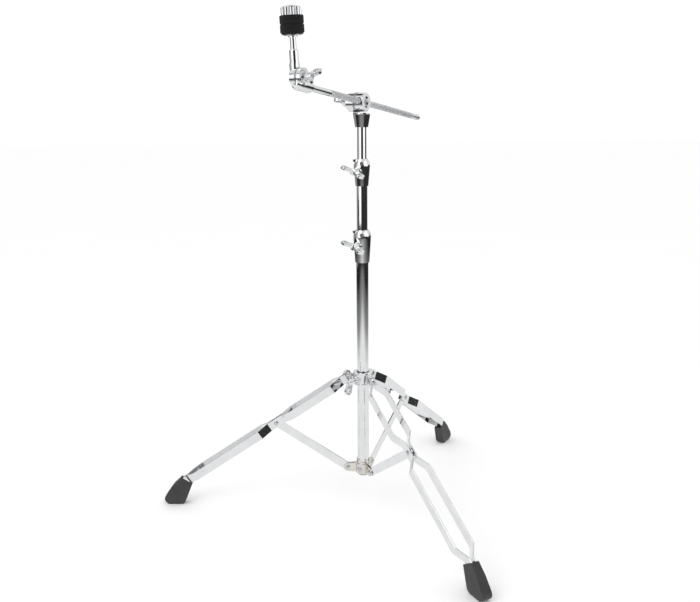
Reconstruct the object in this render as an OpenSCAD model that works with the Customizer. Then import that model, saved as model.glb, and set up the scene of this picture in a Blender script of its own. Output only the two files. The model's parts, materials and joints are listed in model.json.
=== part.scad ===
// Double-braced boom cymbal stand: three folding legs, a three-section mast and a tilting boom.
// Millimetres, +Z up, floor at z = 0, origin at the middle of the footprint's bounding rectangle.

/* [Legs] */
// Distance from the mast axis to the leg and brace pivots
pivot_r = 34; // [32:1:38]
// Height of the leg pivots on the sliding collar
collar_pivot_z = 296; // [280:1:300]
// Height of the brace pivots on the bottom bracket
bracket_pivot_z = 88; // [84:1:92]
// Pivot distance of a brace, and of the upper half of a leg
link_l = 188; // [184:1:196]
// Leg pivot to the end of the leg bars inside the foot
leg_bar_l = 449; // [446:1:450]
// Height of the flat bars of legs and braces
bar_h = 18.5; // [16:0.5:22]
// Thickness of a leg bar
bar_t = 2.8; // [2.4:0.1:3.2]
// Middle of a leg bar from the leg plane, where the two bars lie close together
bar_close = 4.5; // [4.5:0.1:4.8]
// Middle of a leg bar from the leg plane, where the two bars are spread
bar_spread = 20; // [14:1:24]
// Thickness of a brace
brace_t = 3; // [2:0.5:3]

/* [Feet] */
// Farthest reach of a foot from the mast axis
foot_reach = 446; // [440:1:450]
// Width of a foot at the sole
foot_sole_w = 23; // [21:1:26]
// Width of a foot at its mouth
foot_mouth_w = 16; // [15:1:18]

/* [Mast] */
// Outer radius of the base tube
base_tube_r = 12.7; // [12.5:0.1:12.9]
// Outer radius of the middle tube
middle_tube_r = 11.1; // [10.9:0.1:11.1]
// Outer radius of the upper tube
upper_tube_r = 9.5; // [9.3:0.1:9.5]
// Wall thickness of the base and middle tubes
tube_wall = 1.5; // [1.2:0.1:1.5]
// Height of the lower end of the base tube
base_tube_z = 74; // [72:1:75]
// Underside of the lower height collar
lower_collar_z = 549; // [540:1:560]
// Underside of the upper height collar
upper_collar_z = 708; // [700:1:720]
// Underside of the boom tilter's sleeve
tilter_z = 826; // [815:1:840]

/* [Boom] */
// Compass direction of the boom's cymbal end about the mast
boom_az = 241; // [200:1:280]
// Rise of the boom towards its cymbal end
boom_rise = 6.8; // [0:0.1:12]
// Height of the boom's tilt axis above the sleeve's underside
tilt_axis_h = 49.3; // [49:0.1:52]
// Sideways offset of the boom rod from the mast axis
boom_offset = 2.8; // [2.6:0.1:3]
// Radius of the boom rod
boom_r = 6.35; // [6:0.05:6.5]
// Boom rod in front of the tilt axis
boom_front = 209; // [207:1:211]
// Boom rod behind the tilt axis
boom_back = 258; // [200:1:280]

/* [Cymbal tilter] */
// Boom tilt axis to cymbal tilt axis, along the boom
head_x = 228; // [226:1:231]
// Cymbal tilt axis above the boom rod
head_z = 13; // [13:0.5:14]
// Lean of the cymbal post from upright, towards the boom's end
post_lean = 5; // [-20:1:20]
// Radius of the post's thick shaft
shaft_r = 8.5; // [8:0.1:8.8]
// Radius of the post's thin rod
rod_r = 5.7; // [5:0.1:6]
// Cymbal tilt axis to the top of the thick shaft
shaft_top = 47; // [44:1:60]
// Cymbal tilt axis to the seat under the felts
seat_h = 72; // [66:1:90]
// Radius of the felts
felt_r = 21.5; // [18:0.5:22]
// Thickness of one felt
felt_h = 15; // [13:0.5:16]
// Radius of the fluted top nut
top_nut_r = 18.5; // [15:0.5:19]
// Height of the fluted top nut
top_nut_h = 17; // [15:0.5:18]

/* [Wing bolts] */
// Tip-to-tip span of a wing
wing_span = 56; // [50:1:58]
// Thickness of a wing
wing_t = 6; // [5:0.5:7]
// Radius of every clamping bolt
bolt_r = 3.95; // [3.5:0.05:3.95]

/* [Hidden] */

$fn = 64;
CHROME = [0.86, 0.87, 0.88];
NICKEL = [0.78, 0.76, 0.72];
STEEL = [0.62, 0.63, 0.65];
RUBBER = [0.24, 0.24, 0.25];
NYLON = [0.14, 0.14, 0.15];
FELT = [0.13, 0.13, 0.13];

// Running clearance of pins and shafts, gap between neighbouring bodies, and gap inside one body
RUN = 0.05;
GAP = 0.3;
SEAM = 0.05;
// Overshoot of every cutting tool, and the step by which a link's straight sides lie inside its round ends
CUT = 1;
LAP = 0.02;
// Length of a cutting tool that goes right through, and depth by which a pin or a wing enters its own piece
LONG = 80;
ROOT = 2;

LEG_AZ = [180, 300, 60];
LEG_SLOPE = asin((collar_pivot_z - bracket_pivot_z) / (2 * link_l));
RIVET_R = 3;
RIVET_HEAD_R = 5.2;
RIVET_HEAD_T = 1.7;

// The footprint's rectangle is centred on the origin, and the mast stands off to one side of it
SOLE_SIDE_X = foot_reach * cos(60) + foot_sole_w / 2 * sin(60);
MAST_X = (foot_reach - SOLE_SIDE_X) / 2;

COLLAR_H = 28;
COLLAR_R = 19;
COLLAR_LIP_R = 21;
COLLAR_LIP_H = 3;
BUSH_T = 0.5;
BUSH_OVERHANG = 1;
COLLAR_BORE_R = base_tube_r + RUN + BUSH_T + SEAM;
COLLAR_BOSS_L = 31;
COLLAR_WING_R = 36;
EAR_T = 2 * (bar_close - bar_t / 2 - GAP);
EAR_R = 9;
EAR_INSET = 6;
COLLAR_BOLT_AZ = 230;
MAST_BOLT_AZ = 240;

BRACKET_R = 17;
BRACKET_H = 22;
CHEEK_GAP = brace_t / 2 + GAP;
CHEEK_T = 2.2;
CASTLE_T = 2;
CASTLE_H = 10;
CASTLE_NOTCH = 5;
CASTLE_NOTCH_Z = 4;
PLUG_H = 15;
PLUG_LIP_H = 2;

LOWER_COLLAR_H = 68;
UPPER_COLLAR_H = 55;
COLLAR_GRIP_H = 40;
COLLAR_WALL = 2.2;
SHOULDER_T = 5.6;
SHOULDER_H = 16;
CROWN_T = 3.5;
CROWN_H = 4.5;
TAB_W = 7;
TAB_H = 5;
TAB_DROP = 6;
STOP_H = 7;
LOWER_BOLT_Z = lower_collar_z + 36;
UPPER_BOLT_Z = upper_collar_z + 30;
BOSS_R = 8;
BOSS_L = 9;
TIP_GAP = 0.2;
WING_STANDOFF = 12;
HEIGHT_WING_TURN = 157;
TUBE_INSERT = 330;
SCREW_AZ = 268;
SCREW_R = 2.5;
SCREW_L = 7;
SCREW_HEAD_T = 2;
SCREW_DROP = 9;
HEX_R = 1.6;

SLEEVE_H = 30;
TILT_Z = tilter_z + tilt_axis_h;
RATCHET_T = 2.6;
// Where the two toothed discs of the boom tilter meet, along the tilt axis from the mast axis
MATE_Y = -8.45;
DRUM_R = 19;
DRUM_L = 15.8;
CLAMP_R = 19;
CLAMP_L = 17;
CLAMP_EDGE = 1.5;
BOOM_BUSH_R = boom_r + 1.1;
BOOM_BUSH_L = 36;
EYE_R = 10.8;
EYE_BORE_R = 9.5;
EYE_W = 9;
// Length of a bolt beyond the face under its lock washer, and thickness of that washer
BOLT_TAIL = 17;
WASHER_T = 2;
SLEEVE_TOP_R = 17.6;
TILTER_WING_TURN = 6;
SLEEVE_FOOT_R = 13.4;
SLEEVE_WALL_TOP = 3;

SOCKET_R = 11;
SOCKET_BACK = 14;
SOCKET_NOSE = 16;
CYMBAL_WING_SPAN = 52;
CYMBAL_WING_TURN = 38;
KNUCKLE_R = 16.5;
EAR_PLATE_T = 7;
HEAD_BARREL_R = 9.7;
HEAD_T = 10.5;
BARREL_H = 24;
BARREL_DROP = 10;
SHAFT_SEAT = 17;
BOLT_HEAD_R = 6.5;
BOLT_HEAD_T = 3;
SEAT_GAP = 1;
// Sideways offset of the cymbal post from the middle of the cymbal tilter
POST_Y = -9.5;

// ---------- placing ----------
module at_mast() translate([MAST_X, 0, 0]) children();
module spoke(az) at_mast() rotate([0, 0, az]) children();

// Leg frame: X runs down the leg from its collar pivot, Y across the leg's plane, Z square to both
module leg_frame(az)
    spoke(az) translate([pivot_r, 0, collar_pivot_z]) rotate([0, LEG_SLOPE, 0]) children();

// Brace frame: X runs up the brace from its bracket pivot
module brace_frame(az)
    spoke(az) translate([pivot_r, 0, bracket_pivot_z]) rotate([0, -LEG_SLOPE, 0]) children();

// Radial bolt frame: Z points straight out from the mast axis
module radial_frame(az, z) spoke(az) translate([0, 0, z]) rotate([0, 90, 0]) rotate([0, 0, 90]) children();

// Tilter frame: centre of the boom's tilt axis, Y along that axis, X towards the cymbal end
module tilter_frame() at_mast() translate([0, 0, TILT_Z]) rotate([0, 0, boom_az]) children();
module boom_frame() tilter_frame() translate([0, boom_offset, 0]) rotate([0, -boom_rise, 0]) children();

// Knuckle frame: centre of the cymbal tilt axis, along the boom
module knuckle_frame() boom_frame() translate([head_x, 0, head_z]) children();
// Head frame: the same centre, with Z along the cymbal post
module head_frame() knuckle_frame() rotate([0, boom_rise + post_lean, 0]) children();
module post_frame() head_frame() translate([0, POST_Y, 0]) children();

// Turns a shape drawn along Z so that it runs along Y
module along_y() rotate([-90, 0, 0]) children();

// ---------- shapes ----------
module ring(r_out, r_in, h)
    difference() {
        cylinder(r = r_out, h = h);
        translate([0, 0, -CUT]) cylinder(r = r_in, h = h + 2 * CUT);
    }

module tube(r_out, r_in, z0, z1) translate([0, 0, z0]) ring(r_out, r_in, z1 - z0);

// Two circles joined along their outer tangents
module link_2d(p, rp, q, rq) {
    d = norm(q - p);
    turn = atan2(q[1] - p[1], q[0] - p[0]);
    a = acos((rp - rq) / d);
    translate(p) circle(rp);
    translate(q) circle(rq);
    up = [cos(turn + a), sin(turn + a)];
    down = [cos(turn - a), sin(turn - a)];
    polygon([p + (rp - LAP) * up, q + (rq - LAP) * up, q + (rq - LAP) * down, p + (rp - LAP) * down]);
}

// Flat bar with round ends centred on x0 and x1, lying in the XZ plane
module flat_bar(x0, x1, r, t)
    rotate([90, 0, 0]) translate([0, 0, -t / 2]) union() {
        for (x = [x0, x1]) translate([x, 0, 0]) cylinder(r = r, h = t);
        translate([x0, -r + LAP, 0]) cube([x1 - x0, 2 * (r - LAP), t]);
    }

// A pin along Y between y0 and y1, with a domed head at each end that is named
module rivet(y0, y1, head0 = true, head1 = true) {
    translate([0, y0, 0]) along_y() cylinder(r = RIVET_R, h = y1 - y0);
    if (head0) translate([0, y0, 0]) rotate([90, 0, 0]) rivet_head();
    if (head1) translate([0, y1, 0]) along_y() rivet_head();
}
module rivet_head()
    rotate_extrude()
        intersection() {
            square([RIVET_HEAD_R, RIVET_HEAD_T]);
            translate([0, RIVET_HEAD_T - 2 * RIVET_HEAD_R]) circle(2 * RIVET_HEAD_R);
        }

// Wing with two swept lobes and a hub; Z runs outwards and 0 is the hub's inner face
module wing(span, turn) {
    lobe_r = 9.5;
    root_r = 6.5;
    root_x = 4;
    hub_r = 7;
    hub_h = 13;
    lobe_z = 14;
    rim = 5;
    rotate([0, 0, turn]) {
        cylinder(r = hub_r, h = hub_h);
        for (side = [-1, 1])
            rotate([90, 0, 0]) translate([0, 0, -wing_t / 2])
                linear_extrude(wing_t)
                    difference() {
                        link_2d([side * root_x, root_r + 0.5], root_r, [side * (span / 2 - lobe_r),
                            lobe_z], lobe_r);
                        translate([side * (span / 2 - lobe_r), lobe_z]) circle(lobe_r - rim);
                    }
    }
}

// Flat disc with radial teeth cut in its rim face; Z = 0 is the toothed face and the disc lies above it
module ratchet(r, bore) {
    teeth = 24;
    tooth_w = 2;
    tooth_d = 1.2;
    difference() {
        ring(r, bore, RATCHET_T);
        for (i = [0:teeth - 1])
            rotate([0, 0, i * 360 / teeth])
                translate([r - 5, -tooth_w / 2, -CUT]) cube([5 + CUT, tooth_w, tooth_d + CUT]);
    }
}

// Split spring washer
module lock_washer()
    difference() {
        ring(bolt_r + 3.4, bolt_r + GAP, WASHER_T);
        translate([0, -0.5, -CUT]) cube([LONG, 1, WASHER_T + 2 * CUT]);
    }

// ---------- base ----------
module base_tube()
    color(CHROME) at_mast()
        tube(base_tube_r, base_tube_r - tube_wall, base_tube_z,
            lower_collar_z + LOWER_COLLAR_H - COLLAR_GRIP_H - STOP_H);

module base_tube_plug()
    color(NYLON) at_mast() {
        translate([0, 0, base_tube_z - PLUG_LIP_H / 2])
            cylinder(r = base_tube_r - tube_wall - SEAM, h = PLUG_H + PLUG_LIP_H / 2);
        translate([0, 0, base_tube_z - PLUG_LIP_H])
            cylinder(r1 = base_tube_r - 1.5, r2 = base_tube_r, h = PLUG_LIP_H - SEAM);
    }

module bottom_bracket()
    color(NICKEL) difference() {
        at_mast() {
            translate([0, 0, bracket_pivot_z - BRACKET_H / 2]) cylinder(r = BRACKET_R, h = BRACKET_H);
            translate([0, 0, bracket_pivot_z + BRACKET_H / 2]) castle_ring();
            for (az = LEG_AZ) rotate([0, 0, az]) cheeks();
        }
        at_mast() translate([0, 0, base_tube_z - CUT]) cylinder(r = base_tube_r + SEAM, h = LONG);
        for (az = LEG_AZ) spoke(az) translate([pivot_r, -CHEEK_GAP - CHEEK_T - CUT, bracket_pivot_z])
            along_y() cylinder(r = RIVET_R + SEAM, h = 2 * (CHEEK_GAP + CHEEK_T + CUT));
        for (az = LEG_AZ) spoke(az + 60) translate([base_tube_r, 0, bracket_pivot_z])
            rotate([0, 90, 0]) cylinder(r = RIVET_R + SEAM, h = BRACKET_R);
    }

// Notched ring that stands on the bracket
module castle_ring()
    difference() {
        cylinder(r = base_tube_r + CASTLE_T, h = CASTLE_H);
        for (i = [0:5])
            rotate([0, 0, i * 60 + 30]) translate([0, -CASTLE_NOTCH / 2, CASTLE_NOTCH_Z])
                cube([LONG, CASTLE_NOTCH, CASTLE_H]);
    }

// One pair of cheek plates that a brace turns between
module cheeks()
    for (side = [-1, 1])
        translate([0, side * (CHEEK_GAP + CHEEK_T / 2), bracket_pivot_z]) rotate([90, 0, 0])
            translate([0, 0, -CHEEK_T / 2]) linear_extrude(CHEEK_T)
                difference() {
                    link_2d([BRACKET_R - EAR_INSET, 0], BRACKET_H / 2, [pivot_r, 0], EAR_R);
                    circle(base_tube_r + 1);
                }

module bracket_tube_rivets()
    color(STEEL) for (az = LEG_AZ)
        spoke(az + 60) translate([0, 0, bracket_pivot_z]) rotate([0, 90, 0]) {
            translate([0, 0, base_tube_r + 2 * SEAM]) cylinder(r = RIVET_R, h = BRACKET_R - base_tube_r);
            translate([0, 0, BRACKET_R + 2 * SEAM]) rivet_head();
        }

module brace_pivot_rivets()
    color(STEEL) for (az = LEG_AZ)
        spoke(az) translate([pivot_r, 0, bracket_pivot_z])
            rivet(-CHEEK_GAP - CHEEK_T - SEAM, CHEEK_GAP + CHEEK_T + SEAM);

// ---------- leg collar ----------
module leg_collar()
    color(CHROME) difference() {
        at_mast() translate([0, 0, collar_pivot_z - COLLAR_H / 2]) {
            cylinder(r = COLLAR_R, h = COLLAR_H);
            for (z = [0, COLLAR_H - COLLAR_LIP_H])
                translate([0, 0, z]) cylinder(r = COLLAR_LIP_R, h = COLLAR_LIP_H);
            translate([0, 0, COLLAR_H / 2]) for (az = LEG_AZ) rotate([0, 0, az]) collar_ear();
            translate([0, 0, COLLAR_H / 2]) rotate([0, 0, COLLAR_BOLT_AZ]) rotate([0, 90, 0])
                cylinder(r = BOSS_R, h = COLLAR_BOSS_L);
        }
        at_mast() translate([0, 0, collar_pivot_z - COLLAR_H])
            cylinder(r = COLLAR_BORE_R, h = 2 * COLLAR_H);
        radial_frame(COLLAR_BOLT_AZ, collar_pivot_z) cylinder(r = bolt_r + RUN, h = LONG);
        for (az = LEG_AZ) spoke(az) translate([pivot_r, -EAR_T, collar_pivot_z])
            along_y() cylinder(r = RIVET_R + SEAM, h = 2 * EAR_T);
    }

module collar_ear()
    translate([0, EAR_T / 2, 0]) rotate([90, 0, 0]) linear_extrude(EAR_T)
        link_2d([COLLAR_R - EAR_INSET, 0], EAR_R + 0.5, [pivot_r, 0], EAR_R);

module leg_collar_bush()
    color(NYLON) at_mast()
        tube(base_tube_r + RUN + BUSH_T, base_tube_r + RUN,
             collar_pivot_z - COLLAR_H / 2 - BUSH_OVERHANG, collar_pivot_z + COLLAR_H / 2 + BUSH_OVERHANG);

module leg_pivot_rivets()
    color(STEEL) for (az = LEG_AZ)
        spoke(az) translate([pivot_r, 0, collar_pivot_z])
            rivet(-bar_close - bar_t / 2 - GAP, bar_close + bar_t / 2 + GAP);

// Bolt that enters a collar from outside, with its wing
module radial_wing_bolt(az, z, tip_r, wing_r, turn)
    color(CHROME) radial_frame(az, z) {
        translate([0, 0, tip_r]) cylinder(r = bolt_r, h = wing_r - tip_r + ROOT);
        translate([0, 0, wing_r]) wing(wing_span, turn);
    }

module leg_collar_wing_bolt()
    radial_wing_bolt(COLLAR_BOLT_AZ, collar_pivot_z, COLLAR_BORE_R + TIP_GAP, COLLAR_WING_R, 95);

// ---------- legs ----------
// Middle line of a leg bar: close at the collar, spread, close at the brace, spread, close in the foot
BEND_U = [-EAR_R - 1, 14, 38, 146, 169, 206, 229, 405, 430, leg_bar_l];
BEND_W = [bar_close, bar_close, bar_spread, bar_spread, bar_close,
          bar_close, bar_spread, bar_spread, bar_close, bar_close];

module leg_bar(az, side)
    color(CHROME) leg_frame(az) difference() {
        intersection() {
            translate([0, 0, -bar_h / 2]) linear_extrude(bar_h)
                polygon([
                    for (i = [0:len(BEND_U) - 1]) [BEND_U[i], side * (BEND_W[i] - bar_t / 2)],
                    for (i = [len(BEND_U) - 1:-1:0]) [BEND_U[i], side * (BEND_W[i] + bar_t / 2)],
                ]);
            flat_bar(bar_h / 2 + BEND_U[0], leg_bar_l - bar_h / 2, bar_h / 2, LONG);
        }
        for (u = [0, link_l])
            translate([u, side * bar_close - bar_t, 0]) along_y()
                cylinder(r = RIVET_R + RUN, h = 2 * bar_t);
    }

// Two short rivets, one in each bar, that leave the brace free between them
module leg_rivets(az)
    color(STEEL) leg_frame(az) translate([link_l, 0, 0]) {
        rivet(bar_close - bar_t / 2, bar_close + bar_t / 2 + SEAM, false, true);
        rivet(-bar_close - bar_t / 2 - SEAM, -bar_close + bar_t / 2, true, false);
    }

module brace(az)
    color(CHROME) brace_frame(az) difference() {
        flat_bar(0, link_l, EAR_R, brace_t);
        for (x = [0, link_l]) translate([x, -brace_t, 0]) along_y()
            cylinder(r = RIVET_R + RUN, h = 2 * brace_t);
    }

// Points round an arc from one angle to another
function arc(centre, r, from, to, steps = 8) =
    [for (i = [0:steps]) centre + r * [cos(from + (to - from) * i / steps),
        sin(from + (to - from) * i / steps)]];

// Side outline of a foot: down its inner edge, round the heel and the toe, and up its outer edge to the mouth
MOUTH_INNER = [384, 47];
MOUTH_OUTER = [408, 62];
SHIN = [426, 45];
HEEL_X = 409;
HEEL_R = 9;
TOE_R = 13;
FOOT_SIDE = concat([MOUTH_INNER], arc([HEEL_X, HEEL_R], HEEL_R, 200, 270),
                   arc([foot_reach - TOE_R, TOE_R], TOE_R, 270, 395), [SHIN, MOUTH_OUTER]);

// Half outline of a foot seen along its leg, as height and half width: chamfered sole, widest line and top
FOOT_HALF = [[0, foot_sole_w / 2 - 2], [8, foot_sole_w / 2], [70, foot_mouth_w / 2]];

module foot(az)
    color(RUBBER) difference() {
        spoke(az) intersection() {
            rotate([90, 0, 0]) translate([0, 0,
                -foot_sole_w]) linear_extrude(2 * foot_sole_w) polygon(FOOT_SIDE);
            rotate([0, -90, 0]) translate([0, 0, -foot_reach - CUT]) linear_extrude(foot_reach)
                polygon([for (side = [-1, 1], p = side < 0 ? FOOT_HALF : [for (i = [2:-1:0]) FOOT_HALF[i]])
                    [p[0], side * p[1]]]);
        }
        leg_frame(az) flat_bar(link_l, leg_bar_l - bar_h / 2, bar_h / 2 + SEAM,
            2 * bar_close + bar_t + 4 * SEAM);
    }

// ---------- mast ----------
// Tapered collar: grips the tube below it, and holds a bush for the tube that slides in it
module height_collar(z, h, tube_r, bolt_z)
    difference() {
        at_mast() {
            translate([0, 0, z]) rotate_extrude()
                polygon([[0, 0], [tube_r + COLLAR_WALL, 0], [tube_r + SHOULDER_T, h - SHOULDER_H],
                         [tube_r + SHOULDER_T, h - SHOULDER_H + 4], [tube_r + CROWN_T, h - CROWN_H],
                         [tube_r + CROWN_T / 3, h], [0, h]]);
            translate([0, 0, bolt_z]) rotate([0, 0, MAST_BOLT_AZ]) rotate([0, 90, 0])
                cylinder(r = BOSS_R, h = tube_r + BOSS_L);
            translate([0, 0, z + h - TAB_DROP]) rotate([0, 0, MAST_BOLT_AZ - 45])
                translate([0, -TAB_W / 2, 0])
                cube([tube_r + TAB_W, TAB_W, TAB_H]);
        }
        at_mast() translate([0, 0, z - CUT]) cylinder(r = tube_r + SEAM, h = h + 2 * CUT);
        radial_frame(MAST_BOLT_AZ, bolt_z) cylinder(r = bolt_r + RUN, h = LONG);
        radial_frame(SCREW_AZ, z + h - SCREW_DROP) cylinder(r = SCREW_R + SEAM, h = LONG);
    }

// Small socket-head screw that holds the bush in its collar
module collar_screw(z, tube_r)
    color(STEEL) radial_frame(SCREW_AZ, z) difference() {
        union() {
            translate([0, 0, tube_r + 2 * SEAM]) cylinder(r = SCREW_R, h = SCREW_L);
            translate([0, 0, tube_r + SCREW_L - CUT]) cylinder(r = SCREW_R + HEX_R, h = SCREW_HEAD_T);
        }
        translate([0, 0, tube_r + SCREW_L - CUT]) cylinder(r = HEX_R, h = SCREW_L, $fn = 6);
    }

// Bush inside a height collar, between the collar and the sliding tube
module collar_bush(z, h, tube_r, inner_r)
    color(NYLON) at_mast() tube(tube_r - SEAM, inner_r + RUN, z + h - COLLAR_GRIP_H - STOP_H + GAP,
        z + h - GAP);

module lower_height_collar()
    color(CHROME) height_collar(lower_collar_z, LOWER_COLLAR_H, base_tube_r, LOWER_BOLT_Z);
module lower_collar_screw() collar_screw(lower_collar_z + LOWER_COLLAR_H - SCREW_DROP, base_tube_r);
module lower_collar_bush() collar_bush(lower_collar_z, LOWER_COLLAR_H, base_tube_r, middle_tube_r);
module lower_collar_wing_bolt()
    radial_wing_bolt(MAST_BOLT_AZ, LOWER_BOLT_Z, base_tube_r + TIP_GAP, base_tube_r + WING_STANDOFF,
        HEIGHT_WING_TURN);

module middle_tube()
    color(CHROME) at_mast()
        tube(middle_tube_r, middle_tube_r - tube_wall, lower_collar_z + LOWER_COLLAR_H - TUBE_INSERT,
             upper_collar_z + UPPER_COLLAR_H - COLLAR_GRIP_H - STOP_H);

module upper_height_collar()
    color(CHROME) height_collar(upper_collar_z, UPPER_COLLAR_H, middle_tube_r, UPPER_BOLT_Z);
module upper_collar_screw() collar_screw(upper_collar_z + UPPER_COLLAR_H - SCREW_DROP, middle_tube_r);
module upper_collar_bush() collar_bush(upper_collar_z, UPPER_COLLAR_H, middle_tube_r, upper_tube_r);
module upper_collar_wing_bolt()
    radial_wing_bolt(MAST_BOLT_AZ, UPPER_BOLT_Z, middle_tube_r + TIP_GAP,
        middle_tube_r + WING_STANDOFF, HEIGHT_WING_TURN);

module upper_tube()
    color(CHROME) at_mast()
        tube(upper_tube_r, upper_tube_r - tube_wall, upper_collar_z + UPPER_COLLAR_H - TUBE_INSERT,
             tilter_z + SLEEVE_H - SLEEVE_WALL_TOP - CUT);

// ---------- boom tilter ----------
BASE_FACE = GAP / 2;
DRUM_FACE = MATE_Y - BASE_FACE - RATCHET_T;
NECK_LAP = 6;

module tilter_base()
    color(CHROME) difference() {
        union() {
            at_mast() translate([0, 0, tilter_z]) rotate_extrude()
                polygon([[0, 0], [SLEEVE_FOOT_R, 0], [SLEEVE_TOP_R, SLEEVE_H - 1.5 * SLEEVE_WALL_TOP],
                         [SLEEVE_TOP_R - SLEEVE_WALL_TOP, SLEEVE_H - SLEEVE_WALL_TOP / 2],
                         [0, SLEEVE_H - SLEEVE_WALL_TOP / 2]]);
            tilter_frame() translate([0, DRUM_FACE - DRUM_L, 0]) along_y() cylinder(r = DRUM_R, h = DRUM_L);
            intersection() {
                at_mast() translate([0, 0, tilter_z + SLEEVE_H - NECK_LAP])
                    cylinder(r = SLEEVE_TOP_R - SEAM, h = tilt_axis_h - SLEEVE_H + NECK_LAP);
                tilter_frame() translate([-SLEEVE_H, DRUM_FACE - SLEEVE_H, -tilt_axis_h])
                    cube([2 * SLEEVE_H, SLEEVE_H, tilt_axis_h]);
            }
        }
        at_mast() translate([0, 0, tilter_z - CUT])
            cylinder(r = upper_tube_r + SEAM, h = SLEEVE_H - SLEEVE_WALL_TOP + CUT);
        tilter_frame() translate([0, -LONG, 0]) along_y() cylinder(r = bolt_r + RUN, h = LONG);
    }

module tilter_fixed_ratchet()
    color(STEEL) tilter_frame() translate([0, MATE_Y - BASE_FACE, 0]) rotate([90, 0, 0])
        ratchet(DRUM_R + 0.5, bolt_r + RUN);

module tilter_moving_ratchet()
    color(STEEL) boom_frame() translate([0, MATE_Y + BASE_FACE - boom_offset, 0]) along_y()
        ratchet(DRUM_R + 0.5, EYE_BORE_R);

module boom_clamp()
    color(CHROME) boom_frame() translate([0, -CLAMP_MID, 0]) difference() {
        union() {
            along_y() cylinder(r = CLAMP_R, h = CLAMP_L - CLAMP_EDGE);
            along_y() translate([0, 0, CLAMP_L - CLAMP_EDGE])
                cylinder(r1 = CLAMP_R, r2 = CLAMP_R - CLAMP_EDGE, h = CLAMP_EDGE);
        }
        translate([-LONG / 2, CLAMP_MID, 0]) rotate([0, 90, 0]) cylinder(r = BOOM_BUSH_R + RUN, h = LONG);
        translate([-EYE_W / 2 - SEAM, CLAMP_MID, -EYE_R - SEAM])
            cube([EYE_W + 2 * SEAM, CLAMP_L, 2 * (EYE_R + SEAM)]);
        translate([-EYE_W / 2 - SEAM, CLAMP_MID, 0]) rotate([0, 90, 0])
            cylinder(r = EYE_R + SEAM, h = EYE_W + 2 * SEAM);
        along_y() translate([0, 0, -CUT]) cylinder(r = bolt_r + RUN, h = CLAMP_L);
    }
CLAMP_MID = boom_offset - MATE_Y - BASE_FACE - RATCHET_T;

module tilter_eyebolt()
    color(STEEL) boom_frame() difference() {
        union() {
            translate([-EYE_W / 2, 0, 0]) rotate([0, 90, 0]) cylinder(r = EYE_R, h = EYE_W);
            translate([0, -EYEBOLT_L, 0]) along_y() cylinder(r = bolt_r, h = EYEBOLT_L);
        }
        translate([-EYE_W, 0, 0]) rotate([0, 90, 0]) cylinder(r = BOOM_BUSH_R + RUN, h = 2 * EYE_W);
    }
WASHER_Y = DRUM_FACE - DRUM_L - GAP;
EYEBOLT_L = boom_offset - WASHER_Y + BOLT_TAIL;

module tilter_lock_washer()
    color(STEEL) boom_frame() translate([0, WASHER_Y - boom_offset, 0]) rotate([90, 0, 0]) lock_washer();

module tilter_wing_nut()
    color(CHROME) boom_frame() translate([0, WASHER_Y - WASHER_T - GAP - boom_offset, 0])
        rotate([90, 0, 0]) nut(wing_span, TILTER_WING_TURN);

// Wing with a clearance bore for its bolt
module nut(span, turn)
    difference() {
        wing(span, turn);
        translate([0, 0, -CUT]) cylinder(r = bolt_r + RUN, h = LONG);
    }

module boom_bush()
    color(NYLON) boom_frame() translate([-BOOM_BUSH_L / 2, 0, 0]) rotate([0, 90, 0])
        ring(BOOM_BUSH_R, boom_r + RUN, BOOM_BUSH_L);

module boom_rod()
    color(CHROME) boom_frame() rotate([0, 90, 0]) rotate_extrude()
        polygon([[0, -boom_back], [boom_r - 3, -boom_back], [boom_r - 1, -boom_back + 0.7], [boom_r,
            -boom_back + 3],
                 [boom_r, boom_front - 1], [boom_r - 1, boom_front], [0, boom_front]]);

// ---------- cymbal tilter ----------
SEAT_Z = head_z - KNUCKLE_R - SEAT_GAP;
EAR_Y = GAP / 2 + RATCHET_T;

module cymbal_tilter_socket()
    color(CHROME) difference() {
        union() {
            boom_frame() translate([boom_front - SOCKET_BACK, 0, 0]) rotate([0, 90, 0]) rotate_extrude()
                polygon([[0, 0], [SOCKET_R - 2, 0], [SOCKET_R, 3], [SOCKET_R, SOCKET_L - 9],
                    [SOCKET_R - 1.5, SOCKET_L - 4],
                         [SOCKET_R - 5, SOCKET_L], [0, SOCKET_L]]);
            knuckle_frame() translate([0, EAR_Y + EAR_PLATE_T, 0])
                rotate([90, 0, 0]) linear_extrude(EAR_PLATE_T)
                link_2d([0, 0], KNUCKLE_R, [-14, -head_z], SOCKET_R - 1);
        }
        boom_frame() translate([boom_front + SEAM, 0, 0]) rotate([0, -90, 0])
            cylinder(r = boom_r + SEAM, h = LONG);
        boom_frame() translate([head_x - KNUCKLE_R - 3, EAR_Y - LONG, SEAT_Z]) cube(LONG);
        knuckle_frame() along_y() cylinder(r = bolt_r + RUN, h = LONG);
    }
SOCKET_L = head_x + SOCKET_NOSE - boom_front + SOCKET_BACK;

module cymbal_fixed_ratchet()
    color(STEEL) knuckle_frame() translate([0, GAP / 2, 0])
        along_y() ratchet(KNUCKLE_R - 0.3, bolt_r + RUN);

module cymbal_moving_ratchet()
    color(STEEL) head_frame() translate([0, -GAP / 2, 0]) rotate([90, 0, 0])
        ratchet(KNUCKLE_R - 0.3, bolt_r + RUN);

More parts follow.
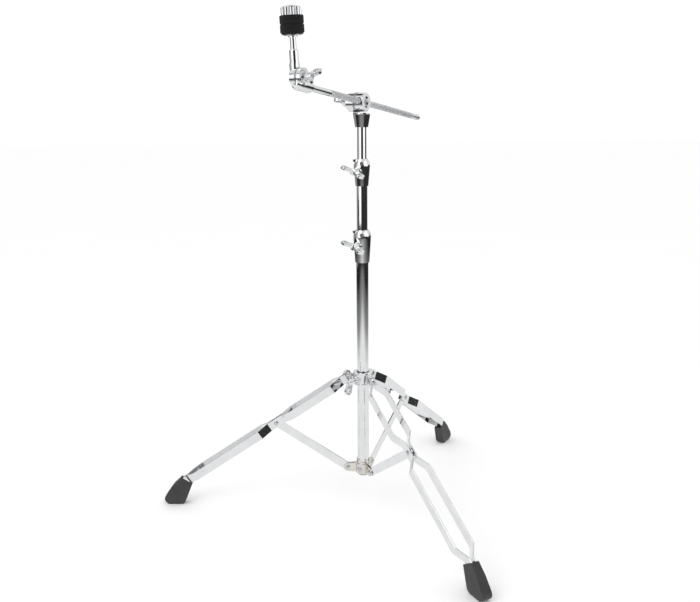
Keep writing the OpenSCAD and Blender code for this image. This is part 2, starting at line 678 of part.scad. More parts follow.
module cymbal_tilter_head()
    color(CHROME) difference() {
        head_frame() translate([0, -GAP / 2 - RATCHET_T, 0]) {
            translate([0, -HEAD_T, 0]) along_y() cylinder(r = KNUCKLE_R - 0.5, h = HEAD_T);
            intersection() {
                translate([0, POST_Y + GAP / 2 + RATCHET_T, -BARREL_DROP])
                    cylinder(r = HEAD_BARREL_R, h = BARREL_H + BARREL_DROP);
                translate([-LONG / 2, -LONG, -BARREL_DROP - CUT]) cube([LONG, LONG, LONG]);
            }
        }
        post_frame() translate([0, 0, SHAFT_SEAT]) cylinder(r = shaft_r + SEAM, h = LONG);
        head_frame() translate([0, -LONG, 0]) along_y() cylinder(r = bolt_r + RUN, h = LONG);
        head_frame() translate([0, -LONG, 0]) along_y()
            cylinder(r = BOLT_HEAD_R + 1, h = LONG - GAP - RATCHET_T - HEAD_T);
    }

module cymbal_tilter_bolt()
    color(STEEL) knuckle_frame() {
        translate([0, -BOLT_HEAD_Y - BOLT_HEAD_T, 0]) along_y()
            cylinder(r = BOLT_HEAD_R, h = BOLT_HEAD_T, $fn = 6);
        translate([0, -BOLT_HEAD_Y, 0]) along_y()
            cylinder(r = bolt_r, h = BOLT_HEAD_Y + EAR_Y + EAR_PLATE_T + BOLT_TAIL);
    }
BOLT_HEAD_Y = GAP / 2 + RATCHET_T + HEAD_T + 2 * GAP;

module cymbal_lock_washer()
    color(STEEL) knuckle_frame() translate([0, EAR_Y + EAR_PLATE_T + GAP, 0]) along_y() lock_washer();

module cymbal_tilter_wing_nut()
    color(CHROME) knuckle_frame() translate([0, EAR_Y + EAR_PLATE_T + 2 * GAP + WASHER_T, 0]) along_y()
        nut(CYMBAL_WING_SPAN, CYMBAL_WING_TURN);

// ---------- cymbal post ----------
SHAFT_EDGE = 1;
SEAT_RING_H = 2.5;
SEAT_WASHER_R = 16;
SEAT_WASHER_T = 1.5;
NUT_BORE_H = 12;
NUT_LOBES = 9;
NUT_LOBE_R = 4.6;
NUT_DOME_R = 40;
FELT_EDGE = 2;
SLEEVE_FLANGE_T = 2;
SLEEVE_R = rod_r + 1.5;
FELT_GAP = 0.1;
NUT_Z = seat_h + SLEEVE_FLANGE_T + 2 * felt_h + 2 * FELT_GAP + GAP;

module cymbal_post()
    color(CHROME) post_frame() {
        translate([0, 0, SHAFT_SEAT + SEAM])
            cylinder(r = shaft_r, h = shaft_top - SHAFT_EDGE - SHAFT_SEAT - SEAM);
        translate([0, 0, shaft_top - SHAFT_EDGE])
            cylinder(r1 = shaft_r, r2 = shaft_r - SHAFT_EDGE, h = SHAFT_EDGE);
        translate([0, 0, shaft_top - SHAFT_EDGE])
            cylinder(r = rod_r, h = NUT_Z + NUT_BORE_H - CUT - shaft_top + SHAFT_EDGE);
        translate([0, 0, seat_h - SEAT_WASHER_T - SEAT_RING_H - 2 * SEAM])
            cylinder(r = rod_r + 3, h = SEAT_RING_H);
    }

module seat_washer()
    color(STEEL) post_frame() translate([0, 0, seat_h - SEAT_WASHER_T])
        ring(SEAT_WASHER_R, rod_r + SEAM, SEAT_WASHER_T - SEAM);

module cymbal_sleeve()
    color(NYLON) post_frame() translate([0, 0, seat_h]) {
        ring(felt_r - 2.5, rod_r + SEAM, SLEEVE_FLANGE_T);
        ring(SLEEVE_R, rod_r + SEAM, SLEEVE_FLANGE_T + 2 * felt_h + FELT_GAP);
    }

module felt(z)
    color(FELT) post_frame() translate([0, 0, z]) rotate_extrude()
        difference() {
            union() {
                translate([0, FELT_EDGE]) square([felt_r, felt_h - 2 * FELT_EDGE]);
                square([felt_r - FELT_EDGE, felt_h]);
                for (y = [FELT_EDGE, felt_h - FELT_EDGE])
                    translate([felt_r - FELT_EDGE, y]) circle(FELT_EDGE);
            }
            translate([-CUT, -CUT]) square([SLEEVE_R + FELT_GAP + CUT, felt_h + 2 * CUT]);
        }
module lower_felt() felt(seat_h + SLEEVE_FLANGE_T + FELT_GAP);
module upper_felt() felt(seat_h + SLEEVE_FLANGE_T + felt_h + 2 * FELT_GAP);

// Fluted knob with a domed top
module top_nut()
    color(CHROME) post_frame() translate([0, 0, NUT_Z]) difference() {
        intersection() {
            union() {
                cylinder(r = top_nut_r - NUT_LOBE_R, h = top_nut_h);
                for (i = [1:NUT_LOBES])
                    rotate([0, 0, i * 360 / NUT_LOBES]) translate([top_nut_r - NUT_LOBE_R, 0, 0])
                        cylinder(r = NUT_LOBE_R, h = top_nut_h);
            }
            rotate_extrude() intersection() {
                square([top_nut_r + CUT, top_nut_h]);
                translate([0, top_nut_h - NUT_DOME_R]) circle(NUT_DOME_R, $fn = 128);
            }
        }
        translate([0, 0, -CUT]) cylinder(r = rod_r + RUN, h = NUT_BORE_H + CUT);
    }

// ---------- the whole stand ----------
base_tube();
base_tube_plug();
bottom_bracket();
bracket_tube_rivets();
brace_pivot_rivets();
leg_collar();
leg_collar_bush();
leg_pivot_rivets();
leg_collar_wing_bolt();
leg_bar(LEG_AZ[0], 1);  // left_leg_bar_a
leg_bar(LEG_AZ[0], -1);  // left_leg_bar_b
leg_rivets(LEG_AZ[0]);  // left_leg_rivets
foot(LEG_AZ[0]);  // left_foot
brace(LEG_AZ[0]);  // left_brace
leg_bar(LEG_AZ[1], 1);  // front_leg_bar_a
leg_bar(LEG_AZ[1], -1);  // front_leg_bar_b
leg_rivets(LEG_AZ[1]);  // front_leg_rivets
foot(LEG_AZ[1]);  // front_foot
brace(LEG_AZ[1]);  // front_brace
leg_bar(LEG_AZ[2], 1);  // rear_leg_bar_a
leg_bar(LEG_AZ[2], -1);  // rear_leg_bar_b
leg_rivets(LEG_AZ[2]);  // rear_leg_rivets
foot(LEG_AZ[2]);  // rear_foot
brace(LEG_AZ[2]);  // rear_brace
lower_height_collar();
lower_collar_screw();
lower_collar_bush();
lower_collar_wing_bolt();
middle_tube();
upper_height_collar();
upper_collar_screw();
upper_collar_bush();
upper_collar_wing_bolt();
upper_tube();
tilter_base();
tilter_fixed_ratchet();
tilter_moving_ratchet();
boom_clamp();
tilter_eyebolt();
tilter_lock_washer();
tilter_wing_nut();
boom_bush();
boom_rod();
cymbal_tilter_socket();
cymbal_fixed_ratchet();
cymbal_moving_ratchet();
cymbal_tilter_head();
cymbal_tilter_bolt();
cymbal_lock_washer();
cymbal_tilter_wing_nut();
cymbal_post();
seat_washer();
cymbal_sleeve();
lower_felt();
upper_felt();
top_nut();
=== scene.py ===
import json
import math

import bmesh
import bpy
from mathutils import Matrix, Vector, noise


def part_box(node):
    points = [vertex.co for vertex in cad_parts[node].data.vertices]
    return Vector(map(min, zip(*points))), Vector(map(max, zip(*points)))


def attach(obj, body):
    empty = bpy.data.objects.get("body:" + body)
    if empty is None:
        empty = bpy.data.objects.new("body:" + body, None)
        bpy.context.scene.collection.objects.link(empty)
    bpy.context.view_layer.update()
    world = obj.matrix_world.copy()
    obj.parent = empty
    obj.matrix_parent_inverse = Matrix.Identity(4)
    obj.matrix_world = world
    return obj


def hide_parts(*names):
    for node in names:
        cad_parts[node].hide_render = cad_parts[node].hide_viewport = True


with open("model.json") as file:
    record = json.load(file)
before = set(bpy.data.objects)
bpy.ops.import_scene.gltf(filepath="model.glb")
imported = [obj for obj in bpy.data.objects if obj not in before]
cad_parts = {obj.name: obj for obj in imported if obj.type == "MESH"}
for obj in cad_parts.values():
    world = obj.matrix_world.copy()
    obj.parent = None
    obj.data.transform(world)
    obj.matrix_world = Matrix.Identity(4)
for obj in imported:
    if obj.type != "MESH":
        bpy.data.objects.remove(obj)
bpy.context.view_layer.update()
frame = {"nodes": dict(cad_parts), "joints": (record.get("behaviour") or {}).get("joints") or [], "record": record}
NODES = frame["nodes"]
JOINTS = {j["name"]: j for j in frame["joints"]}
MM = 0.001


def pivot(joint):
    return Vector(JOINTS[joint]["pos_m"])


def axis(joint):
    return Vector(JOINTS[joint]["axis"]).normalized()


# Foot of the mast, and the steps of a quarter turn for rounded corners
MAST = pivot("lower_tube_turn")
MAST.z = 0
QUARTER_TURN = [math.radians(a) for a in range(0, 91, 15)]


# ---------- materials ----------
def new_material(name):
    mat = bpy.data.materials.new(name)
    mat.use_nodes = True
    tree = mat.node_tree
    shader = tree.nodes["Principled BSDF"]
    return mat, tree, shader


def put(tree, kind, **inputs):
    node = tree.nodes.new(kind)
    for key, value in inputs.items():
        node.inputs[key.replace("_", " ")].default_value = value
    return node


def coordinates(tree, stretch=(1, 1, 1)):
    coord = tree.nodes.new("ShaderNodeTexCoord")
    mapping = tree.nodes.new("ShaderNodeMapping")
    mapping.inputs["Scale"].default_value = stretch
    tree.links.new(coord.outputs["Object"], mapping.inputs["Vector"])
    return mapping.outputs["Vector"]


def noise_node(tree, vector, scale, detail=3.0, roughness=0.5):
    node = put(tree, "ShaderNodeTexNoise", Scale=scale, Detail=detail, Roughness=roughness)
    tree.links.new(vector, node.inputs["Vector"])
    return node.outputs["Fac"]


def spread(tree, fac, low, high, out_low, out_high):
    node = put(tree, "ShaderNodeMapRange", From_Min=low, From_Max=high, To_Min=out_low, To_Max=out_high)
    tree.links.new(fac, node.inputs["Value"])
    return node.outputs["Result"]


def mixed(tree, fac, a, b):
    node = tree.nodes.new("ShaderNodeMix")
    node.data_type = "RGBA"
    node.inputs["A"].default_value = (*a, 1)
    node.inputs["B"].default_value = (*b, 1)
    tree.links.new(fac, node.inputs["Factor"])
    return node.outputs["Result"]


def maths(tree, operation, a, b=None):
    """A Math node whose inputs are sockets or plain numbers."""
    node = tree.nodes.new("ShaderNodeMath")
    node.operation = operation
    for socket, value in zip(node.inputs, (a, b)):
        if isinstance(value, (int, float)):
            socket.default_value = value
        elif value is not None:
            tree.links.new(value, socket)
    return node.outputs["Value"]


def bumped(tree, shader, height, strength, distance):
    node = put(tree, "ShaderNodeBump", Strength=strength, Distance=distance)
    tree.links.new(height, node.inputs["Height"])
    tree.links.new(node.outputs["Normal"], shader.inputs["Normal"])


def metal(name, dark, light, rough_low, rough_high, grain, bump):
    """Plated metal: patchy roughness from handling, drawn grain and a slight ripple under the plating."""
    mat, tree, shader = new_material(name)
    vector = coordinates(tree)
    shader.inputs["Metallic"].default_value = 1.0
    handling = noise_node(tree, vector, 26.0, 5.0, 0.62)
    drawn = noise_node(tree, coordinates(tree, (1, 1, 0.06)), grain, 4.0, 0.7)
    both = maths(tree, "MULTIPLY", handling, drawn)
    tint = mixed(tree, spread(tree, handling, 0.35, 0.7, 0, 1), dark, light)
    tree.links.new(tint, shader.inputs["Base Color"])
    tree.links.new(spread(tree, both, 0.1, 0.42, rough_low, rough_high), shader.inputs["Roughness"])
    bumped(tree, shader, drawn, bump, 0.00012)
    return mat


def soft_plastic(name, dark, light, rough, grain, bump, distance):
    """Moulded rubber or nylon: cloudy shade, and a fine grain in its roughness and surface."""
    mat, tree, shader = new_material(name)
    vector = coordinates(tree)
    cloud = noise_node(tree, vector, 40.0, 4.0, 0.6)
    fine = noise_node(tree, vector, grain, 5.0, 0.6)
    tree.links.new(mixed(tree, spread(tree, cloud, 0.3, 0.7, 0, 1), dark, light), shader.inputs["Base Color"])
    tree.links.new(spread(tree, fine, 0.3, 0.7, rough - 0.08, rough + 0.08), shader.inputs["Roughness"])
    bumped(tree, shader, fine, bump, distance)
    return mat


KNURL_COUNT = 26
KNURL_PITCH = 1.6 * MM


def knurled_chrome():
    """Chrome cut with a diamond knurl: two families of grooves that wind round the rod's own Z axis."""
    mat = metal("knurled_chrome", (0.62, 0.63, 0.64), (0.76, 0.77, 0.78), 0.34, 0.46, 700.0, 0.2)
    tree = mat.node_tree
    shader = tree.nodes["Principled BSDF"]
    coord = tree.nodes.new("ShaderNodeTexCoord")
    split = tree.nodes.new("ShaderNodeSeparateXYZ")
    tree.links.new(coord.outputs["Object"], split.inputs["Vector"])
    angle = maths(tree, "ARCTAN2", split.outputs["Y"], split.outputs["X"])
    around_rod = maths(tree, "MULTIPLY", angle, KNURL_COUNT)
    along_rod = maths(tree, "MULTIPLY", split.outputs["Z"], 2 * math.pi / KNURL_PITCH)
    right_hand = maths(tree, "SINE", maths(tree, "ADD", around_rod, along_rod))
    left_hand = maths(tree, "SINE", maths(tree, "SUBTRACT", around_rod, along_rod))
    bumped(tree, shader, maths(tree, "MINIMUM", right_hand, left_hand), 0.8, 0.00025)
    return mat


CHROME = metal("chrome", (0.76, 0.77, 0.78), (0.84, 0.845, 0.85), 0.03, 0.10, 420.0, 0.06)
NICKEL = metal("nickel", (0.66, 0.635, 0.59), (0.76, 0.74, 0.70), 0.14, 0.30, 300.0, 0.2)
STEEL = metal("zinc_steel", (0.48, 0.485, 0.50), (0.64, 0.645, 0.66), 0.20, 0.38, 500.0, 0.3)
KNURL = knurled_chrome()
SATIN = metal("satin_chrome", (0.74, 0.75, 0.76), (0.84, 0.85, 0.86), 0.36, 0.46, 420.0, 0.1)
RUBBER = soft_plastic("rubber", (0.020, 0.020, 0.021), (0.034, 0.034, 0.035), 0.55, 900.0, 0.35, 0.0003)
NYLON = soft_plastic("nylon", (0.010, 0.010, 0.011), (0.018, 0.018, 0.019), 0.42, 700.0, 0.2, 0.0002)


def felt_material():
    """Black wool: clumps in its shade, and short hairs in its roughness, sheen and surface."""
    mat, tree, shader = new_material("felt")
    vector = coordinates(tree)
    clumps = noise_node(tree, vector, 260.0, 6.0, 0.72)
    hairs = noise_node(tree, coordinates(tree, (1, 1, 3)), 1500.0, 4.0, 0.7)
    tree.links.new(
        mixed(tree, spread(tree, clumps, 0.3, 0.72, 0, 1), (0.005, 0.0047, 0.0046), (0.017, 0.016, 0.0155)),
        shader.inputs["Base Color"],
    )
    tree.links.new(spread(tree, hairs, 0.3, 0.7, 0.9, 1.0), shader.inputs["Roughness"])
    shader.inputs["Sheen Weight"].default_value = 0.12
    shader.inputs["Sheen Roughness"].default_value = 0.6
    shader.inputs["Sheen Tint"].default_value = (0.35, 0.34, 0.33, 1)
    shader.inputs["Specular IOR Level"].default_value = 0.1
    bumped(tree, shader, hairs, 0.9, 0.0006)
    return mat


FELT = felt_material()
BY_SLOT = {
    "chrome": CHROME,
    "nickel": NICKEL,
    "zinc_steel": STEEL,
    "foot_rubber": RUBBER,
    "nylon": NYLON,
    "felt": FELT,
}
SLOT_OF = {s["node"]: s["material_slot"] for s in frame["record"]["subparts"]}


# ---------- finishing the CAD nodes ----------
SEAM_MERGE = 0.01 * MM
SHARP_ANGLE = math.radians(24)
FLAT_ANGLE = math.radians(0.3)


def cleaning_group():
    """Geometry nodes that join an imported mesh along its seams and shade it smooth up to its real edges."""
    group = bpy.data.node_groups.new("clean_mesh", "GeometryNodeTree")
    group.interface.new_socket("Geometry", in_out="INPUT", socket_type="NodeSocketGeometry")
    group.interface.new_socket("Geometry", in_out="OUTPUT", socket_type="NodeSocketGeometry")
    source = group.nodes.new("NodeGroupInput")
    result = group.nodes.new("NodeGroupOutput")
    merge = group.nodes.new("GeometryNodeMergeByDistance")
    merge.inputs["Distance"].default_value = SEAM_MERGE
    angle = group.nodes.new("GeometryNodeInputMeshEdgeAngle")
    sharp = group.nodes.new("FunctionNodeCompare")
    sharp.data_type = "FLOAT"
    sharp.operation = "GREATER_THAN"
    sharp.inputs["B"].default_value = SHARP_ANGLE
    normals = group.nodes.new("GeometryNodeSetMeshNormal")
    normals.inputs["Remove Custom"].default_value = True
    group.links.new(source.outputs[0], merge.inputs["Geometry"])
    group.links.new(angle.outputs["Unsigned Angle"], sharp.inputs["A"])
    group.links.new(merge.outputs["Geometry"], normals.inputs["Mesh"])
    group.links.new(sharp.outputs["Result"], normals.inputs["Edge Sharpness"])
    group.links.new(normals.outputs["Mesh"], result.inputs[0])
    return group


CLEAN = cleaning_group()


def clean(obj):
    """Gives a piece its joined seams and its shading."""
    modifier = obj.modifiers.new("clean", "NODES")
    modifier.node_group = CLEAN


def finish_node(obj, bevel, segments=2):
    """Rounds the edges of a machined, pressed or moulded piece."""
    clean(obj)
    flat = obj.modifiers.new("flat", "DECIMATE")
    flat.decimate_type = "DISSOLVE"
    flat.angle_limit = FLAT_ANGLE
    edge = obj.modifiers.new("edge", "BEVEL")
    edge.width = bevel
    edge.segments = segments
    edge.limit_method = "ANGLE"
    edge.angle_limit = SHARP_ANGLE
    edge.use_clamp_overlap = True
    flats = obj.modifiers.new("flats", "WEIGHTED_NORMAL")
    flats.keep_sharp = True


def cast_node(obj, voxel, passes):
    """Turns the hard edges of a wing or knob into those of a casting."""
    clean(obj)
    remesh = obj.modifiers.new("cast", "REMESH")
    remesh.mode = "VOXEL"
    remesh.voxel_size = voxel
    remesh.use_smooth_shade = True
    smooth = obj.modifiers.new("polish", "SMOOTH")
    smooth.factor = CAST_SOFTNESS
    smooth.iterations = passes


WING_NODES = ("leg_collar_wing_bolt", "lower_collar_wing_bolt", "upper_collar_wing_bolt",
              "tilter_wing_nut", "cymbal_tilter_wing_nut")
CAST_VOXEL = 0.45 * MM
CAST_PASSES = 6
CAST_SOFTNESS = 0.5
EDGE = 0.35 * MM
FINE_EDGE = 0.12 * MM
BAR_EDGE = 0.8 * MM
FOOT_EDGE = 1.6 * MM
FOOT_EDGE_STEPS = 4


for name, obj in NODES.items():
    obj.data.materials.clear()
    obj.data.materials.append(BY_SLOT[SLOT_OF[name]])
    if name in WING_NODES:
        cast_node(obj, CAST_VOXEL, CAST_PASSES)
    elif "_leg_bar_" in name:
        finish_node(obj, BAR_EDGE)
    elif name.endswith("_foot"):
        finish_node(obj, FOOT_EDGE, FOOT_EDGE_STEPS)
    elif SLOT_OF[name] == "zinc_steel":
        finish_node(obj, FINE_EDGE)
    else:
        finish_node(obj, EDGE)


# ---------- built pieces ----------
def make_mesh(name, verts, faces, material, smooth=True):
    mesh = bpy.data.meshes.new(name)
    mesh.from_pydata(verts, [], faces)
    mesh.validate()
    mesh.update()
    if smooth:
        mesh.polygons.foreach_set("use_smooth", [True] * len(mesh.polygons))
    obj = bpy.data.objects.new(name, mesh)
    bpy.context.scene.collection.objects.link(obj)
    mesh.materials.append(material)
    return obj


def frame_about(origin, direction):
    """Matrix whose Z runs along direction from origin."""
    z = direction.normalized()
    x = z.orthogonal().normalized()
    y = z.cross(x)
    rows = [(x[i], y[i], z[i], origin[i]) for i in range(3)]
    return Matrix((*rows, (0, 0, 0, 1)))


def lathe(name, profile, turns, place, materials, radius_of=None, slot_of=None):
    """Turns a profile of (radius, height) about the Z axis of place; both ends are closed."""
    verts, faces, slots = [], [], []
    for r, z in profile:
        for k in range(turns):
            a = 2 * math.pi * k / turns
            rr = radius_of(r, z, a) if radius_of else r
            verts.append(Vector((rr * math.cos(a), rr * math.sin(a), z)))
    for i in range(len(profile) - 1):
        for k in range(turns):
            m = (k + 1) % turns
            faces.append((i * turns + k, i * turns + m, (i + 1) * turns + m, (i + 1) * turns + k))
            slots.append(slot_of((profile[i][1] + profile[i + 1][1]) / 2) if slot_of else 0)
    last = (len(profile) - 1) * turns
    faces += [tuple(range(turns))[::-1], tuple(last + k for k in range(turns))]
    slots += [0, 0]
    obj = make_mesh(name, verts, faces, materials[0])
    for extra in materials[1:]:
        obj.data.materials.append(extra)
    obj.data.polygons.foreach_set("material_index", slots)
    obj.matrix_world = place
    return obj


# Boom rod: mirror-bright in front, knurled with one turned line where the clamp grips it, satin at its rear
BOOM_R = 6.35 * MM
BOOM_FRONT = 209 * MM
BOOM_BACK = 258 * MM
KNURL_FROM = -219 * MM
KNURL_TO = 128 * MM
LINE_AT = -150 * MM
LINE_W = 0.8 * MM
LINE_D = 0.5 * MM
TIP_ROUND = 4.5 * MM
FRONT_CHAMFER = 1 * MM
ROD_TURNS = 64


def rod_finish(z):
    """Material slot at a height on the rod: satin behind, knurled under the clamp, mirror in front."""
    return 2 if z < KNURL_FROM else int(z < KNURL_TO)


def boom_rod():
    """The rod as one turned profile from its rounded rear tip to its chamfered front end."""
    tip = [(BOOM_R - TIP_ROUND * (1 - math.sin(t)), -BOOM_BACK + TIP_ROUND * (1 - math.cos(t)))
           for t in QUARTER_TURN]
    groove = [(BOOM_R, KNURL_FROM - LINE_W), (BOOM_R - LINE_D / 2, KNURL_FROM)]
    knurl_start = [(BOOM_R, KNURL_FROM + LINE_W)]
    line = [(BOOM_R, LINE_AT - LINE_W), (BOOM_R - LINE_D, LINE_AT - LINE_W / 2),
            (BOOM_R - LINE_D, LINE_AT + LINE_W / 2), (BOOM_R, LINE_AT + LINE_W)]
    knurl_end = [(BOOM_R, KNURL_TO - LINE_W)]
    front = [(BOOM_R - LINE_D / 2, KNURL_TO), (BOOM_R, KNURL_TO + LINE_W),
             (BOOM_R, BOOM_FRONT - FRONT_CHAMFER), (BOOM_R - FRONT_CHAMFER, BOOM_FRONT)]
    profile = tip + groove + knurl_start + line + knurl_end + front
    place = frame_about(pivot("boom_turn"), axis("boom_slide"))
    obj = lathe("boom_rod_finished", profile, ROD_TURNS, place, [CHROME, KNURL, SATIN], slot_of=rod_finish)
    clean(obj)
    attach(obj, "boom")
    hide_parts("boom_rod")


boom_rod()


# Felts: thick discs of pressed wool, a little uneven round the rim and rounded over at both faces
FELT_R = 21.5 * MM
FELT_H = 15 * MM
FELT_BORE_R = 7.4 * MM
FELT_ROUND = 2.2 * MM
FELT_WAVE = 0.35 * MM
FELT_TURNS = 120
FELT_ROWS = 9
SLOW_WAVES = 1.3
QUICK_WAVES = 9.0
QUICK_SHARE = 0.4


def felt_disc(node, seed):
    """A felt whose outline wanders inward from its CAD solid, standing where that solid stands."""
    low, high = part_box(node)
    place = frame_about((Vector(low) + Vector(high)) / 2, axis("top_nut_turn"))
    foot = [(FELT_R - FELT_ROUND * (1 - math.sin(t)), -FELT_H / 2 + FELT_ROUND * (1 - math.cos(t)))
            for t in QUARTER_TURN]
    half = FELT_H / 2 - FELT_ROUND
    side = [(FELT_R, -half + 2 * half * i / FELT_ROWS) for i in range(1, FELT_ROWS)]
    head = [(r, -z) for r, z in reversed(foot)]
    profile = [(FELT_BORE_R, -FELT_H / 2)] + foot + side + head + [(FELT_BORE_R, FELT_H / 2)]

    def wander(r, z, a):
        if r <= FELT_BORE_R:
            return r
        spot = Vector((math.cos(a), math.sin(a), z / FELT_R))
        slow = noise.noise(spot * SLOW_WAVES + Vector((seed, 0, 0)))
        quick = noise.noise(spot * QUICK_WAVES + Vector((0, seed, 0)))
        return r - FELT_WAVE * (0.5 + 0.5 * slow) - FELT_WAVE * QUICK_SHARE * (0.5 + 0.5 * quick)

    obj = lathe(node + "_pressed", profile, FELT_TURNS, place, [FELT], radius_of=wander)
    bore_through(obj, len(profile), FELT_TURNS)
    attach(obj, "cymbal_head")
    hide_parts(node)


def bore_through(obj, rows, turns):
    """Swaps the two end caps of a lathed piece for the wall of its bore."""
    mesh = bmesh.new()
    mesh.from_mesh(obj.data)
    bmesh.ops.delete(mesh, geom=[f for f in mesh.faces if len(f.verts) == turns], context="FACES_ONLY")
    mesh.verts.ensure_lookup_table()
    last = (rows - 1) * turns
    for k in range(turns):
        m = (k + 1) % turns
        wall = mesh.faces.new([mesh.verts[i] for i in (last + k, last + m, m, k)])
        wall.smooth = True
    bmesh.ops.recalc_face_normals(mesh, faces=mesh.faces)
    mesh.to_mesh(obj.data)
    mesh.free()


felt_disc("lower_felt", 3.1)
felt_disc("upper_felt", 7.7)


# ---------- stage ----------
def stage_plane(name, corners, material):
    obj = make_mesh(name, [Vector(c) for c in corners], [tuple(range(len(corners)))], material, smooth=False)


def flat_material(name, low, high, rough, scale):
    mat, tree, shader = new_material(name)
    fac = noise_node(tree, coordinates(tree), scale, 3.0, 0.5)
    tree.links.new(mixed(tree, fac, (low,) * 3, (high,) * 3), shader.inputs["Base Color"])
    shader.inputs["Roughness"].default_value = rough
    shader.inputs["Specular IOR Level"].default_value = 0.0
    return mat


def glow_material(name, level):
    mat = bpy.data.materials.new(name)
    mat.use_nodes = True
    tree = mat.node_tree
    tree.nodes.clear()
    out = tree.nodes.new("ShaderNodeOutputMaterial")
    glow = tree.nodes.new("ShaderNodeEmission")
    glow.inputs["Color"].default_value = (1, 1, 1, 1)
    glow.inputs["Strength"].default_value = level
    tree.links.new(glow.outputs["Emission"], out.inputs["Surface"])
    return mat


def paint_floor_light_pool(stops, reach, side_squeeze):
    """Painted pool of light round the stand: a glowing floor whose painted brightness falls away with distance,
    sooner to the sides than to the front.
    """
    mat = glow_material("painted_floor_light", 1.0)
    tree = mat.node_tree
    glow = tree.nodes["Emission"]
    vector = coordinates(tree, (side_squeeze, 1 / side_squeeze, 1))
    length = tree.nodes.new("ShaderNodeVectorMath")
    length.operation = "LENGTH"
    tree.links.new(vector, length.inputs[0])
    ramp = tree.nodes.new("ShaderNodeValToRGB")
    tree.links.new(spread(tree, length.outputs["Value"], 0, reach, 0, 1), ramp.inputs["Fac"])
    while len(ramp.color_ramp.elements) < len(stops):
        ramp.color_ramp.elements.new(0.5)
    for element, (distance, level) in zip(ramp.color_ramp.elements, stops):
        element.position = distance / reach
        element.color = (level, level, level, 1)
    tree.links.new(ramp.outputs["Color"], glow.inputs["Strength"])
    return mat


FLOOR_HALF = 30
FLOOR_CORNERS = [(x * FLOOR_HALF, y * FLOOR_HALF, 0) for x, y in ((-1, -1), (1, -1), (1, 1), (-1, 1))]
stage_plane("floor", FLOOR_CORNERS, flat_material("paper", 0.93, 0.95, 0.9, 2.0))
DARK = glow_material("dark_card", 0.03)
DIM = glow_material("dim_card", 0.28)
GREY = glow_material("grey_card", 0.5)
SKY = glow_material("sky_card", 0.82)
BRIGHT = glow_material("softbox", 1.3)


def reflected_only(obj):
    """A studio card that shows only in the metal."""
    obj.visible_camera = False
    obj.visible_diffuse = False
    obj.visible_shadow = False
    obj.visible_transmission = False
    obj.visible_volume_scatter = False


def around(angle, distance, height):
    """A point round the mast: angle 0 is towards the camera, and grows to the camera's right."""
    a = math.radians(angle)
    return (MAST.x + distance * math.sin(a), MAST.y - distance * math.cos(a), height)


def card(name, from_angle, to_angle, distance, low, high, material, steps=12):
    """A curved upright card round the mast, between two angles and two heights."""
    verts, faces = [], []
    for i in range(steps + 1):
        angle = from_angle + (to_angle - from_angle) * i / steps
        verts += [Vector(around(angle, distance, low)), Vector(around(angle, distance, high))]
    for i in range(steps):
        faces.append((2 * i, 2 * i + 2, 2 * i + 3, 2 * i + 1))
    obj = make_mesh(name, verts, faces, material, smooth=False)
    reflected_only(obj)


def glossy_disc(name, centre, radius, material, turns=64):
    """A level round card."""
    angles = [2 * math.pi * k / turns for k in range(turns)]
    verts = [Vector((radius * math.cos(a), radius * math.sin(a), 0)) for a in angles]
    obj = make_mesh(name, verts, [tuple(range(turns))], material, smooth=False)
    obj.location = centre
    reflected_only(obj)


# Distances and heights in metres; each angle is where one card ends and the next begins
WALL = 3.0
TOP = 3.2
SKY_HEIGHT = 6
SKY_DISTANCE = 12
FRONT_LEFT = -17
FRONT_RIGHT = 35
RIGHT_END = 88
RIGHT_SIDE_END = 140
LEFT_END = -64
LEFT_SIDE_END = -94
LEFT_EDGE_END = -140
RIGHT_BOX_FOOT = 0.56
LEFT_BOX_FOOT = 0.25
LEFT_SIDE_FOOT = 0.4
# Painted pool of light on the floor seen in the metal: (distance in metres, glow level) stops of its painted
# falloff
PAINTED_FLOOR_FALLOFF = [(1.2, 0.93), (1.85, 0.3), (2.3, 0.2), (3.0, 0.02)]
FLOOR_REACH = 4.0
FLOOR_SQUEEZE = 1.25

# The floor seen in the metal glows with a painted pool of light rather than being lit
glossy_disc("painted_floor_light", MAST + Vector((0, 0, 4 * MM)), SKY_DISTANCE,
            paint_floor_light_pool(PAINTED_FLOOR_FALLOFF, FLOOR_REACH, FLOOR_SQUEEZE))
glossy_disc("sky", MAST + Vector((0, 0, SKY_HEIGHT)), SKY_DISTANCE + 2, SKY)
card("sky_wall", -180, 180, SKY_DISTANCE, 0.0, SKY_HEIGHT, SKY, 48)
card("camera_side", FRONT_LEFT, FRONT_RIGHT, WALL, 0.0, 1.3, DARK)
card("right_softbox", FRONT_RIGHT, RIGHT_END, WALL, RIGHT_BOX_FOOT, TOP, BRIGHT)
card("right_low", FRONT_RIGHT, RIGHT_END, WALL, 0.0, RIGHT_BOX_FOOT, DARK)
card("right_black", 38, 78, 1.25, 0.36, 0.66, DARK)
card("right_side", RIGHT_END, RIGHT_SIDE_END, WALL, 0.0, 0.86, DARK)
card("left_softbox", LEFT_END, FRONT_LEFT, WALL, LEFT_BOX_FOOT, TOP, BRIGHT)
card("left_low", LEFT_END, FRONT_LEFT, WALL, 0.0, LEFT_BOX_FOOT, DARK)
card("left_side", LEFT_SIDE_END, LEFT_END, WALL, LEFT_SIDE_FOOT, TOP, GREY)
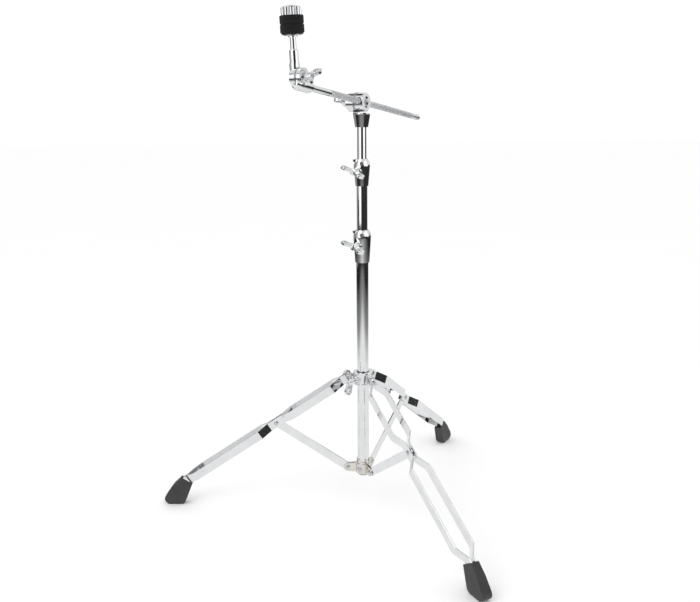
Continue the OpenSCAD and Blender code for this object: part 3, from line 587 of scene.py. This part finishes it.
card("left_side_low", LEFT_SIDE_END, LEFT_END, WALL, 0.0, LEFT_SIDE_FOOT, DARK)
card("left_edge", LEFT_EDGE_END, LEFT_SIDE_END, WALL, 0.0, 1.8, DIM)
card("back", RIGHT_SIDE_END, 360 + LEFT_EDGE_END, WALL + 0.5, 0.0, 0.9, DIM)
glossy_disc("ceiling_gap", MAST + Vector((0, 0.8, 3.6)), 1.5, DARK)

WORLD_LEVEL = 1.05
KEY_WATTS = 12
KEY_SIZE = 1.6
KEY_FROM_MAST = Vector((-1.4, -1.6, 2.4))
KEY_AIM = MAST + Vector((0, 0, 0.4))

world = bpy.data.worlds.new("studio")
bpy.context.scene.world = world
world.use_nodes = True
world.node_tree.nodes["Background"].inputs["Color"].default_value = (1, 1, 1, 1)
world.node_tree.nodes["Background"].inputs["Strength"].default_value = WORLD_LEVEL

key = bpy.data.lights.new("key", "AREA")
key.energy = KEY_WATTS
key.size = KEY_SIZE
key_object = bpy.data.objects.new("key", key)
bpy.context.scene.collection.objects.link(key_object)
key_object.location = MAST + KEY_FROM_MAST
key_object.rotation_euler = (KEY_AIM - key_object.location).to_track_quat("-Z", "Y").to_euler()


# ---------- camera ----------
CAMERA_FROM_MAST = Vector((0.0171, -1.6801, 0.8397))
CAMERA_PITCH = 0.2193
CAMERA_YAW = 0.026
CAMERA_ROLL = -0.0083
LENS_MM = 41.674
SENSOR_MM = 36
NEAREST = 0.05
FARTHEST = 200

camera_data = bpy.data.cameras.new("camera")
camera_data.lens = LENS_MM
camera_data.sensor_width = SENSOR_MM
camera_data.clip_start = NEAREST
camera_data.clip_end = FARTHEST
camera = bpy.data.objects.new("camera", camera_data)
bpy.context.scene.collection.objects.link(camera)
camera.matrix_world = (
    Matrix.Translation(MAST + CAMERA_FROM_MAST)
    @ Matrix.Rotation(CAMERA_YAW, 4, "Z")
    @ Matrix.Rotation(math.pi / 2 - CAMERA_PITCH, 4, "X")
    @ Matrix.Rotation(CAMERA_ROLL, 4, "Z")
)
bpy.context.scene.camera = camera
bpy.context.scene.view_settings.view_transform = "Standard"
